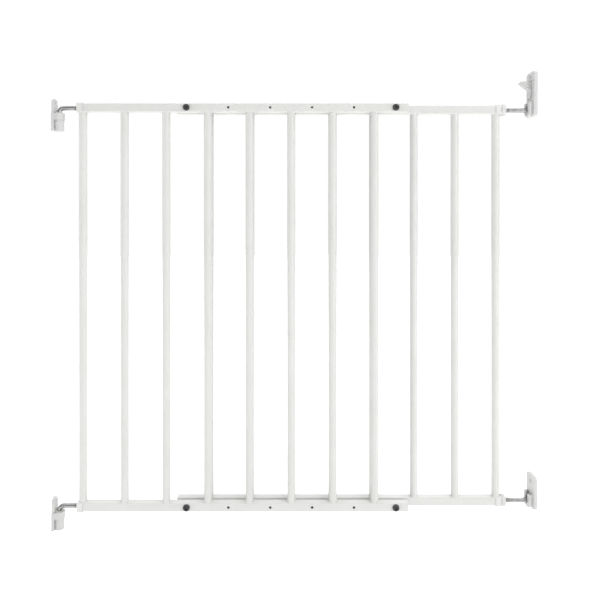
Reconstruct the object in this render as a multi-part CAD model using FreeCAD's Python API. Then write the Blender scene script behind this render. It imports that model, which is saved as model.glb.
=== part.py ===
import FreeCAD, Part
import math
import os

# Wall-mounted extending safety gate for a doorway or a stair, in millimetres.
# X runs across the opening from the hinge wall (X = 0) to the catch wall, Y through the
# gate and Z up. The front panel's bars stand on Y = 0, and Z = 0 is the bottom rails' axis.
# Two equal barred panels overlap. Four screws clamp them at the width the opening needs.
# The gate hangs by two bent hooks in bushed sockets on the hinge wall. On the catch wall its
# two spindle heads sit in open cups, the upper one locked down by a thumb catch. To open it
# the catch is pressed, the gate is lifted out of the cups and swung on the hooks.

# ---- panels ----
BAR_COUNT = 8
BAR_PITCH = 73.5
BAR_D = 14.0
BAR_WALL = 1.0
RAIL_SIDE = 15.0
RAIL_WALL = 1.2
RAIL_CORNER_R = 2.0
RAIL_SPACING = 702.0            # bottom rail axis to top rail axis
RAIL_START = 7.5                # from the end bar's axis to the rail's capped end
PANEL_GAP = 5.0                 # between the front rails' backs and the rear rails' fronts
WIDTH_PITCHES = 10              # pitches from the front panel's end bar to the rear one's

# ---- width setting: clamp screws and their holes ----
FIRST_HOLE_PITCHES = 2.5        # end bar's axis to the first hole, so holes lie between bars
HOLE_COUNT = 6
SCREW_TO_RAIL_END = 20.55       # from the last hole's axis to the rail's free end
CLAMP_SCREW_D = 4.0
CLAMP_HOLE_CLEARANCE = 0.25     # on the radius
CLAMP_HEAD_D = 11.8
CLAMP_HEAD_H = 4.2
CLAMP_HEAD_EDGE_R = 2.2
CLAMP_SOCKET_AF = 5.0
CLAMP_SOCKET_DEPTH = 2.4
CLAMP_TIP_PAST_NUT = 1.2
CLAMP_NUT_AF = 7.0
CLAMP_NUT_H = 4.4
CLAMP_NUT_FLANGE_D = 10.0
CLAMP_NUT_FLANGE_H = 1.2
THREAD_CLEARANCE = 0.05         # on the radius, between a plain shank and its plain nut bore
SPACER_D = 9.0

# ---- plastic caps and plugs on the rail ends ----
CAP_WALL = 1.25
CAP_END = 1.5
CAP_SLEEVE = 8.7                # how far the sleeve runs along the rail
CAP_EDGE_R = 1.1
CAP_FIT = 0.1                   # each side, cap to rail and plug to rail
CAP_PLUG = 10.0
NOTCH_CLEARANCE = 0.3           # cap notch to bar, on the radius and below
END_PLUG_FLANGE = 1.8
END_PLUG_LENGTH = 14.0
END_PLUG_EDGE_R = 0.8
INSERT_LENGTH = 14.0

# ---- hooks on the hinge side ----
ROD_D = 8.0
HINGE_BAR_OFFSET = 52.5         # hinge wall to the front panel's end bar axis
PIN_OFFSET = 10.5               # hinge wall to the hook leg's axis
HOOK_BEND_R = 8.3
HOOK_TIP_CHAMFER = 0.8
ROD_END_PAST_INSERT = 12.0

# ---- hinge bracket and bush ----
HINGE_PLATE_T = 4.5
HINGE_PLATE_W = 20.0
TONGUE_W = 16.0
TONGUE_RISE = 8.0               # rod axis to the centre of the tongue's round end
SOCKET_H = 32.4                 # top of the bush flange to the underside of the bracket
SOCKET_FLOOR = 2.2
COLLAR_H = 11.8
COLLAR_R = 9.2
BARREL_R = 8.0
WEB_W = 11.0
BUSH_WALL = 1.9
BUSH_FLANGE_H = 1.4
BUSH_FLANGE_R = 7.2
BUSH_FLANGE_CLEARANCE = 0.4     # flange to the tongue behind it
BUSH_BORE_CLEARANCE = 0.05      # on the radius, hook leg in bush
BUSH_OUTER_CLEARANCE = 0.08     # on the radius, bush in bracket
LEG_ROOM = 0.6                  # on the radius, round the leg below the bush
BRACKET_EDGE_R = 1.0

# ---- wall screws: countersunk holes, left empty ----
WALL_HOLE_D = 4.6
WALL_SINK_D = 8.6
WALL_SINK_DEPTH = 2.0
HINGE_UPPER_HOLE_Z = 8.0
HINGE_LOWER_HOLE_Z = -28.0
DRIVER_HOLE_D = 9.6             # through the barrel, for the lower screw's driver
COVER_CLEARANCE = 0.05          # on the radius, the plug that closes the driver's hole
COVER_RECESS = 0.2              # the plug's face inside the barrel's

# ---- catch side: spindles and their hex nuts ----
CATCH_BAR_OFFSET = 69.0         # rear panel's end bar axis to the catch wall
SPINDLE_HEAD_D = 16.0
SPINDLE_HEAD_T = 2.5
HEAD_SIDE_GAP = 0.7             # head to the catch plate behind it and to the lip before it
SPINDLE_COLLAR_D = 10.0
SPINDLE_COLLAR_L = 3.0
SPINDLE_COLLAR_GAP = 1.0        # collar to the cup's lip
SPINDLE_EDGE = 0.5
HEX_NUT_AF = 20.0
HEX_NUT_L = 7.3
HEX_NUT_CHAMFER = 1.2
HEX_NUT_TURN = {"upper": 30.0, "lower": 0.0}

# ---- cups that hold the spindle heads ----
CUP_HEAD_CLEARANCE = 1.0        # on the radius
CUP_WALL = 3.0
CUP_LIP_T = 2.6
CUP_TOP = 13.5                  # spindle axis to the rim
CUP_NOTCH_CLEARANCE = 0.3       # on the radius, spindle in the lip's notch
CATCH_PLATE_W = 34.0
CATCH_PLATE_CORNER_R = 7.0
CATCH_PLATE_EDGE_R = 1.2
CATCH_PLATE_T = 6.5
CATCH_PLATE_TOP = 68.0
CATCH_UPPER_HOLE_Z = 60.0
CUP_PLATE_T = 6.0
CUP_PLATE_TOP = 46.6
CUP_UPPER_HOLE_Z = 35.0

# ---- thumb catch, in distance from the wall and height over the upper spindle's axis ----
LEVER_W = 14.0
LEVER_SIDE_GAP = 0.5
PIVOT_OFFSET = 3.6
PIVOT_Z = 41.0
PIVOT_D = 3.0
PIVOT_CLEARANCE = 0.05          # on the radius
PIVOT_LENGTH = 30.0
LEVER_BACK = 1.0
LEVER_TOP_Z = 50.5
LEVER_TIP = 25.1
LEVER_TIP_T = 2.4
LEVER_ROOT = 8.0
LEVER_ROOT_Z = 34.5
NOSE_SETBACK = 0.1              # behind the spindle head's front
NOSE_BOTTOM_Z = 20.0
NOSE_T = 2.5
NOSE_H = 3.0
LEVER_WAIST = 4.2
LEVER_WAIST_Z = 31.0
LEVER_SHOULDER_Z = 44.0
LEVER_EDGE_R = 0.6
WINDOW_GAP = 2.0                # above and below the catch in the plate's window
SPRING_WIRE_D = 0.8
SPRING_TURNS = 3
SPRING_PITCH = 1.0
SPRING_ROOM = 0.4

# ---- places that follow from the sizes above ----
REAR_Y = RAIL_SIDE + PANEL_GAP
FRONT_END_X = HINGE_BAR_OFFSET
REAR_END_X = FRONT_END_X + WIDTH_PITCHES * BAR_PITCH
WALL_X = REAR_END_X + CATCH_BAR_OFFSET
RAIL_HALF = RAIL_SIDE / 2
RAIL_BORE = RAIL_SIDE - 2 * RAIL_WALL
RAIL_OVERHANG = BAR_PITCH / 2 + SCREW_TO_RAIL_END
RAIL_LENGTH = RAIL_START + (BAR_COUNT - 1) * BAR_PITCH + RAIL_OVERHANG
ROD_R = ROD_D / 2
ROD_HOLE_R = ROD_R + THREAD_CLEARANCE
CLAMP_HOLE_R = CLAMP_SCREW_D / 2 + CLAMP_HOLE_CLEARANCE
CLAMP_BACK_Y = REAR_Y + RAIL_HALF
HOLE_PITCHES = [FIRST_HOLE_PITCHES + k for k in range(HOLE_COUNT)]
CLAMP_XS = [FRONT_END_X + HOLE_PITCHES[0] * BAR_PITCH, FRONT_END_X + HOLE_PITCHES[-1] * BAR_PITCH]
BUSH_R = ROD_R + BUSH_BORE_CLEARANCE + BUSH_WALL
FLANGE_TOP_Z = -HOOK_BEND_R
SOCKET_BOTTOM_Z = FLANGE_TOP_Z - SOCKET_H
COLLAR_TOP_Z = FLANGE_TOP_Z - BUSH_FLANGE_H
COLLAR_BOTTOM_Z = COLLAR_TOP_Z - COLLAR_H
CUP_INNER_R = SPINDLE_HEAD_D / 2 + CUP_HEAD_CLEARANCE
CUP_OUTER_R = CUP_INNER_R + CUP_WALL
HEAD_FRONT = CATCH_PLATE_T + HEAD_SIDE_GAP + SPINDLE_HEAD_T
CUP_REACH = HEAD_FRONT + HEAD_SIDE_GAP + CUP_LIP_T
NOSE_FRONT = HEAD_FRONT - NOSE_SETBACK
PIVOT_R = PIVOT_D / 2 + PIVOT_CLEARANCE
SPRING_LENGTH = SPRING_TURNS * SPRING_PITCH
LEVEL_Z = {"upper": RAIL_SPACING, "lower": 0.0}
CUT_MARGIN = 1.0                # how far a cutting tool runs past what it cuts
PLANE_TOLERANCE = 1e-4          # how near a plane or a direction an edge counts as on it

os.makedirs("parts", exist_ok=True)

AXIS_X = FreeCAD.Vector(1, 0, 0)
AXIS_Y = FreeCAD.Vector(0, 1, 0)
AXIS_Z = FreeCAD.Vector(0, 0, 1)


def point(x, y, z):
    return FreeCAD.Vector(x, y, z)


def cylinder(radius, length, base, axis):
    return Part.makeCylinder(radius, length, base, axis)


def tube(outer_r, inner_r, length, base, axis):
    return cylinder(outer_r, length, base, axis).cut(cylinder(inner_r, length, base, axis))


def box(x_range, y_range, z_range):
    """A block between the lower and the higher value of each pair."""
    low = point(min(x_range), min(y_range), min(z_range))
    size = [max(pair) - min(pair) for pair in (x_range, y_range, z_range)]
    return Part.makeBox(size[0], size[1], size[2], low)


def rounded_square_bar(x_range, y, z, side, corner_r):
    """A bar along X with a square section whose four long edges are round."""
    half = side / 2
    bar = box(x_range, (y - half, y + half), (z - half, z + half))
    return bar.makeFillet(corner_r, edges_along(bar, AXIS_X))


def edges_along(shape, axis):
    """The straight edges that run along an axis."""
    found = []
    for edge in shape.Edges:
        run = edge.Vertexes[-1].Point - edge.Vertexes[0].Point
        if run.Length > 0 and run.cross(axis).Length < PLANE_TOLERANCE * run.Length:
            found.append(edge)
    return found


def edges_at_x(shape, x):
    """The edges that lie wholly in the plane of one X."""
    return [edge for edge in shape.Edges
            if abs(edge.BoundBox.XMin - x) + abs(edge.BoundBox.XMax - x) < PLANE_TOLERANCE]


def end_circles(disc):
    """The two rim edges of a disc that lies along X."""
    return [edge for edge in disc.Edges if edge.BoundBox.XLength < PLANE_TOLERANCE]


def hex_prism(across_flats, length, base, axis, turn=0.0):
    """A hexagonal prism from a base point along an axis, turned about that axis in degrees."""
    corner_r = across_flats / math.sqrt(3)
    side = AXIS_Z if abs(axis.dot(AXIS_Z)) < 0.5 else AXIS_X
    spin = FreeCAD.Rotation(axis, turn)
    other = axis.cross(side)
    corners = []
    for k in range(6):
        angle = math.radians(60 * k)
        reach = side * (corner_r * math.cos(angle)) + other * (corner_r * math.sin(angle))
        corners.append(base + spin.multVec(reach))
    outline = Part.makePolygon(corners + corners[:1])
    return Part.Face(outline).extrude(axis * length)


def chamfered_hex(across_flats, length, chamfer, base, axis, turn=0.0):
    """A hex nut's body, with the corners of both ends turned off by a cone."""
    corner_r = across_flats / math.sqrt(3)
    prism = hex_prism(across_flats, length, base, axis, turn)
    turned = Part.makeCylinder(corner_r, length - 2 * chamfer, base + axis * chamfer, axis)
    flat_r = across_flats / 2 - chamfer / 2
    low = Part.makeCone(flat_r, corner_r, chamfer, base, axis)
    high = Part.makeCone(corner_r, flat_r, chamfer, base + axis * (length - chamfer), axis)
    return prism.common(turned.fuse([low, high]))


def u_prism(x_range, y, z, radius, top):
    """A prism along X whose section is a half circle below and straight sides up to a height."""
    sides = (y - radius, y + radius)
    whole_round = cylinder(radius, max(x_range) - min(x_range), point(min(x_range), y, z), AXIS_X)
    lower_half = whole_round.common(box(x_range, sides, (z - radius, z)))
    return lower_half.fuse(box(x_range, sides, (z, z + top))).removeSplitter()


def countersunk_hole(face_x, outward, y, z, depth):
    """The cut for a wall screw: a plain hole from the wall and a cone at the outer face."""
    hole = cylinder(WALL_HOLE_D / 2, depth + 2 * CUT_MARGIN,
                    point(face_x - outward * (depth + CUT_MARGIN), y, z), AXIS_X * outward)
    sink = Part.makeCone(WALL_HOLE_D / 2, WALL_SINK_D / 2, WALL_SINK_DEPTH,
                         point(face_x - outward * WALL_SINK_DEPTH, y, z), AXIS_X * outward)
    return hole.fuse(sink)


def save(name, shape):
    shape.exportStep("parts/" + name + ".step")


def save_group(name, solids):
    save(name, Part.makeCompound(solids))


# ---- the two panels ----
class Panel:
    """One barred panel: its end bar's X, which way it runs from there and its plane's Y."""

    def __init__(self, name, end_x, direction, y):
        self.name = name
        self.end_x = end_x
        self.direction = direction
        self.y = y

    def x(self, inward):
        """The X of a place that far inward from the end bar's axis."""
        return self.end_x + self.direction * inward

    def rail(self, z):
        span = (self.x(-RAIL_START), self.x(RAIL_LENGTH - RAIL_START))
        outer = rounded_square_bar(span, self.y, z, RAIL_SIDE, RAIL_CORNER_R)
        bore = rounded_square_bar(span, self.y, z, RAIL_BORE, RAIL_CORNER_R - RAIL_WALL)
        return outer.cut(bore)

    def bar(self, k):
        base = point(self.x(k * BAR_PITCH), self.y, RAIL_HALF)
        length = RAIL_SPACING - RAIL_SIDE
        return tube(BAR_D / 2, BAR_D / 2 - BAR_WALL, length, base, AXIS_Z)

    def end_cap(self, z, toward_bar):
        """The sleeve, end face and inner plug on the capped end, notched round the end bar."""
        side = RAIL_SIDE + 2 * (CAP_FIT + CAP_WALL)
        sleeve_end = CAP_SLEEVE - RAIL_START
        outer = rounded_square_bar((self.x(-RAIL_START - CAP_END), self.x(sleeve_end)),
                                   self.y, z, side, RAIL_CORNER_R + CAP_WALL)
        outer = outer.makeFillet(CAP_EDGE_R, edges_at_x(outer, self.x(-RAIL_START - CAP_END)))
        room = rounded_square_bar((self.x(-RAIL_START), self.x(sleeve_end)),
                                  self.y, z, RAIL_SIDE + 2 * CAP_FIT, RAIL_CORNER_R)
        plug = rounded_square_bar((self.x(-RAIL_START - CAP_END / 2), self.x(CAP_PLUG - RAIL_START)),
                                  self.y, z, RAIL_BORE - 2 * CAP_FIT, RAIL_CORNER_R - RAIL_WALL)
        rod = cylinder(ROD_HOLE_R, CAP_END + CAP_PLUG + 2 * CUT_MARGIN,
                       point(self.x(-RAIL_START - CAP_END - CUT_MARGIN), self.y, z),
                       AXIS_X * self.direction)
        notch_r = BAR_D / 2 + NOTCH_CLEARANCE
        notch_z = (z + toward_bar * (RAIL_HALF - NOTCH_CLEARANCE), z + toward_bar * side)
        notch = cylinder(notch_r, abs(notch_z[1] - notch_z[0]),
                         point(self.x(0), self.y, min(notch_z)), AXIS_Z)
        notch = notch.fuse(box((self.x(0), self.x(CAP_SLEEVE)),
                               (self.y - notch_r, self.y + notch_r), notch_z))
        return outer.cut(room).fuse(plug).cut(rod).cut(notch)

    def insert(self, z):
        """The threaded block behind the cap's plug, which the hook or spindle screws into."""
        start = CAP_PLUG - RAIL_START
        block = rounded_square_bar((self.x(start), self.x(start + INSERT_LENGTH)),
                                   self.y, z, RAIL_BORE - 2 * CAP_FIT, RAIL_CORNER_R - RAIL_WALL)
        return block.cut(cylinder(ROD_HOLE_R, INSERT_LENGTH + 2 * CUT_MARGIN,
                                  point(self.x(start - CUT_MARGIN), self.y, z),
                                  AXIS_X * self.direction))

    def end_plug(self, z):
        """The push-in plug that closes the rail's free end."""
        end = RAIL_LENGTH - RAIL_START
        flange = rounded_square_bar((self.x(end), self.x(end + END_PLUG_FLANGE)),
                                    self.y, z, RAIL_SIDE, RAIL_CORNER_R)
        flange = flange.makeFillet(END_PLUG_EDGE_R, edges_at_x(flange, self.x(end + END_PLUG_FLANGE)))
        body = rounded_square_bar((self.x(end - END_PLUG_LENGTH), self.x(end)),
                                  self.y, z, RAIL_BORE - 2 * CAP_FIT, RAIL_CORNER_R - RAIL_WALL)
        return flange.fuse(body)


FRONT = Panel("front", FRONT_END_X, 1, 0.0)
REAR = Panel("rear", REAR_END_X, -1, REAR_Y)


def hole_through_rail(x, y, z):
    return cylinder(CLAMP_HOLE_R, RAIL_SIDE + 2 * CUT_MARGIN,
                    point(x, y - RAIL_HALF - CUT_MARGIN, z), AXIS_Y)


def front_rail(z):
    """The front rail's row of holes: the end ones take the clamp screws, the rest are spare."""
    rail = FRONT.rail(z)
    for pitches in HOLE_PITCHES:
        rail = rail.cut(hole_through_rail(FRONT.x(pitches * BAR_PITCH), FRONT.y, z))
    return rail


def rear_rail(z):
    """The rear rail's clamp slot, open at the free end, so that the panels can slide apart."""
    slot_end = CLAMP_XS[-1]
    free_end = REAR.x(RAIL_LENGTH - RAIL_START)
    slot = box((free_end - CUT_MARGIN, slot_end),
               (REAR.y - RAIL_SIDE, REAR.y + RAIL_SIDE),
               (z - CLAMP_HOLE_R, z + CLAMP_HOLE_R))
    return REAR.rail(z).cut(slot).cut(hole_through_rail(slot_end, REAR.y, z))


def clamp_screw(x, z):
    """A domed socket-head screw through both rails, its head on the front rail."""
    face_y = -RAIL_HALF
    head = cylinder(CLAMP_HEAD_D / 2, CLAMP_HEAD_H, point(x, face_y - CLAMP_HEAD_H, z), AXIS_Y)
    rim = [edge for edge in head.Edges if edge.BoundBox.YMax < face_y - CLAMP_HEAD_H / 2]
    head = head.makeFillet(CLAMP_HEAD_EDGE_R, rim)
    socket = hex_prism(CLAMP_SOCKET_AF, CLAMP_SOCKET_DEPTH, point(x, face_y - CLAMP_HEAD_H, z), AXIS_Y)
    length = CLAMP_BACK_Y + CLAMP_NUT_H + CLAMP_TIP_PAST_NUT - face_y
    shank = cylinder(CLAMP_SCREW_D / 2, length, point(x, face_y, z), AXIS_Y)
    return head.cut(socket).fuse(shank)


def clamp_spacer(x, z):
    return tube(SPACER_D / 2, CLAMP_HOLE_R, PANEL_GAP, point(x, RAIL_HALF, z), AXIS_Y)


def clamp_nut(x, z):
    """A flanged hex nut on the back of the rear rail."""
    base = point(x, CLAMP_BACK_Y, z)
    flange = cylinder(CLAMP_NUT_FLANGE_D / 2, CLAMP_NUT_FLANGE_H, base, AXIS_Y)
    body = hex_prism(CLAMP_NUT_AF, CLAMP_NUT_H, base, AXIS_Y)
    bore = cylinder(CLAMP_SCREW_D / 2 + THREAD_CLEARANCE, CLAMP_NUT_H, base, AXIS_Y)
    return flange.fuse(body).cut(bore)


# ---- hinge side ----
def hinge_hook(z):
    """A rod bent down through a right angle: a leg for the socket, an arm into the rail."""
    leg_base = SOCKET_BOTTOM_Z + SOCKET_FLOOR
    arm_end = FRONT.x(CAP_PLUG - RAIL_START + INSERT_LENGTH + ROD_END_PAST_INSERT)
    leg_top = point(PIN_OFFSET, 0, z - HOOK_BEND_R)
    arm_start = point(PIN_OFFSET + HOOK_BEND_R, 0, z)
    half_turn = HOOK_BEND_R * (1 - math.sqrt(0.5))
    middle = point(PIN_OFFSET + half_turn, 0, z - half_turn)
    tip = point(PIN_OFFSET, 0, z + leg_base)
    leg = Part.LineSegment(tip, leg_top).toShape()
    bend = Part.Arc(leg_top, middle, arm_start).toShape()
    arm = Part.LineSegment(arm_start, point(arm_end, 0, z)).toShape()
    section = Part.Wire([Part.makeCircle(ROD_R, tip, AXIS_Z)])
    rod = Part.Wire([leg, bend, arm]).makePipeShell([section], True, True)
    ends = [edge for edge in rod.Edges
            if edge.BoundBox.ZMax < z + leg_base + CUT_MARGIN or edge.BoundBox.XMin > arm_end - CUT_MARGIN]
    return rod.makeChamfer(HOOK_TIP_CHAMFER, ends)


def hinge_plate(z):
    """The wall plate, narrowed above the socket to a round-ended tongue."""
    bottom = z + SOCKET_BOTTOM_Z
    half = HINGE_PLATE_W / 2
    plate = box((0, HINGE_PLATE_T), (-half, half), (bottom, z + COLLAR_TOP_Z))
    tongue = box((0, HINGE_PLATE_T), (-TONGUE_W / 2, TONGUE_W / 2), (z + COLLAR_TOP_Z, z + TONGUE_RISE))
    round_end = cylinder(TONGUE_W / 2, HINGE_PLATE_T, point(0, 0, z + TONGUE_RISE), AXIS_X)
    whole = plate.fuse([tongue, round_end]).removeSplitter()
    return whole.makeFillet(BRACKET_EDGE_R, edges_at_x(whole, HINGE_PLATE_T))


def hinge_bracket(z):
    """Wall plate with a socket in front of it: a collar for the bush, a slimmer barrel below."""
    bottom = z + SOCKET_BOTTOM_Z
    collar_low = z + COLLAR_BOTTOM_Z
    collar = cylinder(COLLAR_R, COLLAR_H, point(PIN_OFFSET, 0, collar_low), AXIS_Z)
    neck = box((0, PIN_OFFSET), (-COLLAR_R, COLLAR_R), (collar_low, collar_low + COLLAR_H))
    barrel = cylinder(BARREL_R, collar_low - bottom, point(PIN_OFFSET, 0, bottom), AXIS_Z)
    foot = [edge for edge in barrel.Edges if edge.BoundBox.ZMax < bottom + CUT_MARGIN]
    barrel = barrel.makeFillet(BRACKET_EDGE_R, foot)
    web = box((0, PIN_OFFSET), (-WEB_W / 2, WEB_W / 2), (bottom, collar_low))
    body = hinge_plate(z).fuse([collar, neck, barrel, web])
    bush_room = cylinder(BUSH_R + BUSH_OUTER_CLEARANCE, COLLAR_H, point(PIN_OFFSET, 0, collar_low), AXIS_Z)
    floor = bottom + SOCKET_FLOOR
    leg_room = cylinder(ROD_R + LEG_ROOM, collar_low - floor, point(PIN_OFFSET, 0, floor), AXIS_Z)
    driver = cylinder(DRIVER_HOLE_D / 2, PIN_OFFSET + COLLAR_R,
                      point(HINGE_PLATE_T, 0, z + HINGE_LOWER_HOLE_Z), AXIS_X)
    flange_room = cylinder(BUSH_FLANGE_R + BUSH_FLANGE_CLEARANCE, BUSH_FLANGE_H + BUSH_FLANGE_CLEARANCE,
                           point(PIN_OFFSET, 0, z + COLLAR_TOP_Z), AXIS_Z)
    for hole_z in (HINGE_UPPER_HOLE_Z, HINGE_LOWER_HOLE_Z):
        body = body.cut(countersunk_hole(HINGE_PLATE_T, 1, 0, z + hole_z, HINGE_PLATE_T))
    return body.cut(bush_room).cut(leg_room).cut(flange_room).cut(driver)


def hinge_screw_cover(z):
    """The plug that closes the driver's hole, curved like the barrel inside and out."""
    hole_z = z + HINGE_LOWER_HOLE_Z
    plug_r = DRIVER_HOLE_D / 2 - COVER_CLEARANCE
    plug = cylinder(plug_r, BARREL_R, point(PIN_OFFSET, 0, hole_z), AXIS_X)
    low = point(PIN_OFFSET, 0, hole_z - DRIVER_HOLE_D)
    shell = tube(BARREL_R - COVER_RECESS, ROD_R + LEG_ROOM, 2 * DRIVER_HOLE_D, low, AXIS_Z)
    return plug.common(shell)


def hinge_bush(z):
    """A flanged bush that carries the hook's leg and turns with it."""
    bore_r = ROD_R + BUSH_BORE_CLEARANCE
    sleeve = tube(BUSH_R, bore_r, COLLAR_H, point(PIN_OFFSET, 0, z + COLLAR_BOTTOM_Z), AXIS_Z)
    flange = tube(BUSH_FLANGE_R, bore_r, BUSH_FLANGE_H, point(PIN_OFFSET, 0, z + COLLAR_TOP_Z), AXIS_Z)
    return sleeve.fuse(flange).removeSplitter()


# ---- catch side ----
def off_wall(distance):
    """The X of a place that far off the catch wall."""
    return WALL_X - distance


def spindle(z):
    """A threaded rod out of the rear rail with a collar and a disc head for the cup."""
    start = REAR.x(CAP_PLUG - RAIL_START + INSERT_LENGTH + ROD_END_PAST_INSERT)
    rod = cylinder(ROD_R, off_wall(HEAD_FRONT) - start, point(start, REAR_Y, z), AXIS_X)
    head = cylinder(SPINDLE_HEAD_D / 2, SPINDLE_HEAD_T, point(off_wall(HEAD_FRONT), REAR_Y, z), AXIS_X)
    head = head.makeFillet(SPINDLE_EDGE, end_circles(head))
    collar_end = CUP_REACH + SPINDLE_COLLAR_GAP
    collar = cylinder(SPINDLE_COLLAR_D / 2, SPINDLE_COLLAR_L,
                      point(off_wall(collar_end + SPINDLE_COLLAR_L), REAR_Y, z), AXIS_X)
    collar = collar.makeChamfer(SPINDLE_EDGE, end_circles(collar))
    return rod.fuse([head, collar])


def spindle_nut(level):
    """The plastic hex nut that locks the spindle against the rail's end cap."""
    z = LEVEL_Z[level]
    base = point(REAR.x(-RAIL_START - CAP_END), REAR_Y, z)
    nut = chamfered_hex(HEX_NUT_AF, HEX_NUT_L, HEX_NUT_CHAMFER, base, AXIS_X, HEX_NUT_TURN[level])
    return nut.cut(cylinder(ROD_HOLE_R, HEX_NUT_L, base, AXIS_X))


def catch_wall_plate(z, thickness, top):
    """A rounded wall plate whose lower edge is level with the underside of the cup."""
    half = CATCH_PLATE_W / 2
    plate = box((off_wall(thickness), WALL_X), (REAR_Y - half, REAR_Y + half), (z - CUP_OUTER_R, z + top))
    plate = plate.makeFillet(CATCH_PLATE_CORNER_R, edges_along(plate, AXIS_X))
    return plate.makeFillet(CATCH_PLATE_EDGE_R, edges_at_x(plate, off_wall(thickness)))


def head_cup(z, thickness):
    """The open-topped cup in front of a wall plate, whose lip is notched for the spindle."""
    cup = u_prism((off_wall(CUP_REACH), off_wall(thickness / 2)), REAR_Y, z, CUP_OUTER_R, CUP_TOP)
    return cup.makeFillet(CATCH_PLATE_EDGE_R, edges_at_x(cup, off_wall(CUP_REACH)))


def cup_cuts(z, thickness):
    """The room for the head, and the notch for the rod, both open at the top."""
    rise = CUP_TOP + CUT_MARGIN
    head_room = u_prism((off_wall(CUP_REACH - CUP_LIP_T), off_wall(thickness)), REAR_Y, z, CUP_INNER_R, rise)
    notch = u_prism((off_wall(CUP_REACH + CUT_MARGIN), off_wall(CUP_REACH - CUP_LIP_T)),
                    REAR_Y, z, ROD_R + CUP_NOTCH_CLEARANCE, rise)
    return head_room.fuse(notch)


def cup_on_plate(z, thickness, top, upper_hole_z):
    """A wall plate with its cup and two screw holes, the lower one behind the head."""
    body = catch_wall_plate(z, thickness, top).fuse(head_cup(z, thickness))
    body = body.cut(cup_cuts(z, thickness))
    for hole_z in (0.0, upper_hole_z):
        body = body.cut(countersunk_hole(off_wall(thickness), -1, REAR_Y, z + hole_z, thickness))
    return body


def lever_outline():
    """The thumb catch from the side, as pairs of distance off the wall and height."""
    return [
        (LEVER_BACK, LEVER_TOP_Z),
        (LEVER_TIP, LEVER_TOP_Z),
        (LEVER_TIP, LEVER_TOP_Z - LEVER_TIP_T),
        (LEVER_ROOT, LEVER_ROOT_Z),
        (NOSE_FRONT, NOSE_BOTTOM_Z + NOSE_H),
        (NOSE_FRONT, NOSE_BOTTOM_Z),
        (NOSE_FRONT - NOSE_T, NOSE_BOTTOM_Z),
        (LEVER_WAIST, LEVER_WAIST_Z),
        (LEVER_BACK, LEVER_SHOULDER_Z),
    ]


def catch_lever(z):
    """A thumb pad above its pivot and a nose below it that blocks the upper spindle's head."""
    near_y = REAR_Y - LEVER_W / 2
    corners = [point(off_wall(d), near_y, z + h) for d, h in lever_outline()]
    body = Part.Face(Part.makePolygon(corners + corners[:1])).extrude(AXIS_Y * LEVER_W)
    body = body.makeFillet(LEVER_EDGE_R, edges_along(body, AXIS_Y))
    eye = cylinder(PIVOT_R, LEVER_W, point(off_wall(PIVOT_OFFSET), near_y, z + PIVOT_Z), AXIS_Y)
    coil_r = PIVOT_R + SPRING_WIRE_D + 2 * SPRING_ROOM
    coil_l = SPRING_LENGTH + SPRING_WIRE_D + SPRING_ROOM
    coil_end = point(off_wall(PIVOT_OFFSET), REAR_Y + LEVER_W / 2 - coil_l, z + PIVOT_Z)
    return body.cut(eye).cut(cylinder(coil_r, coil_l, coil_end, AXIS_Y))


def catch_window(z):
    """The opening in the plate that the thumb catch rocks in."""
    half = LEVER_W / 2 + LEVER_SIDE_GAP
    return box((off_wall(CATCH_PLATE_T + CUT_MARGIN), WALL_X + CUT_MARGIN), (REAR_Y - half, REAR_Y + half),
               (z + NOSE_BOTTOM_Z - WINDOW_GAP, z + LEVER_TOP_Z + WINDOW_GAP))


def catch_bracket(z):
    """The upper plate and cup; the pin goes in from the back, so its hole ends inside the near side."""
    body = cup_on_plate(z, CATCH_PLATE_T, CATCH_PLATE_TOP, CATCH_UPPER_HOLE_Z)
    pin_hole = cylinder(PIVOT_R, CATCH_PLATE_W,
                        point(off_wall(PIVOT_OFFSET), REAR_Y - PIVOT_LENGTH / 2, z + PIVOT_Z), AXIS_Y)
    return body.cut(catch_window(z)).cut(pin_hole)


def catch_pin(z):
    base = point(off_wall(PIVOT_OFFSET), REAR_Y - PIVOT_LENGTH / 2, z + PIVOT_Z)
    return cylinder(PIVOT_D / 2, PIVOT_LENGTH, base, AXIS_Y)


def catch_spring(z):
    """The coil round the catch's pin that pushes the nose back over the spindle's head."""
    radius = PIVOT_R + SPRING_ROOM + SPRING_WIRE_D / 2
    helix = Part.makeHelix(SPRING_PITCH, SPRING_LENGTH, radius)
    section = Part.Wire([Part.makeCircle(SPRING_WIRE_D / 2, point(radius, 0, 0), AXIS_Y)])
    coil = Part.Wire(helix).makePipeShell([section], True, True)
    coil.rotate(point(0, 0, 0), AXIS_X, -90)
    start_y = REAR_Y + LEVER_W / 2 - SPRING_LENGTH - SPRING_WIRE_D / 2
    coil.translate(point(off_wall(PIVOT_OFFSET), start_y, z + PIVOT_Z))
    return coil


# ---- parts ----
RAIL_MAKERS = {"front": front_rail, "rear": rear_rail}
LEVELS = {"top": (RAIL_SPACING, -1), "bottom": (0.0, 1)}

for panel in (FRONT, REAR):
    for level, (level_z, toward_bar) in LEVELS.items():
        save(panel.name + "_" + level + "_rail", RAIL_MAKERS[panel.name](level_z))
        save(panel.name + "_" + level + "_end_cap", panel.end_cap(level_z, toward_bar))
    for k in range(BAR_COUNT):
        save(panel.name + "_bar_" + str(k + 1), panel.bar(k))

for level, (level_z, toward_bar) in LEVELS.items():
    save("front_" + level + "_end_plug", FRONT.end_plug(level_z))

save_group("hook_inserts", [FRONT.insert(z) for z in LEVEL_Z.values()])
save_group("spindle_inserts", [REAR.insert(z) for z in LEVEL_Z.values()])

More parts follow.
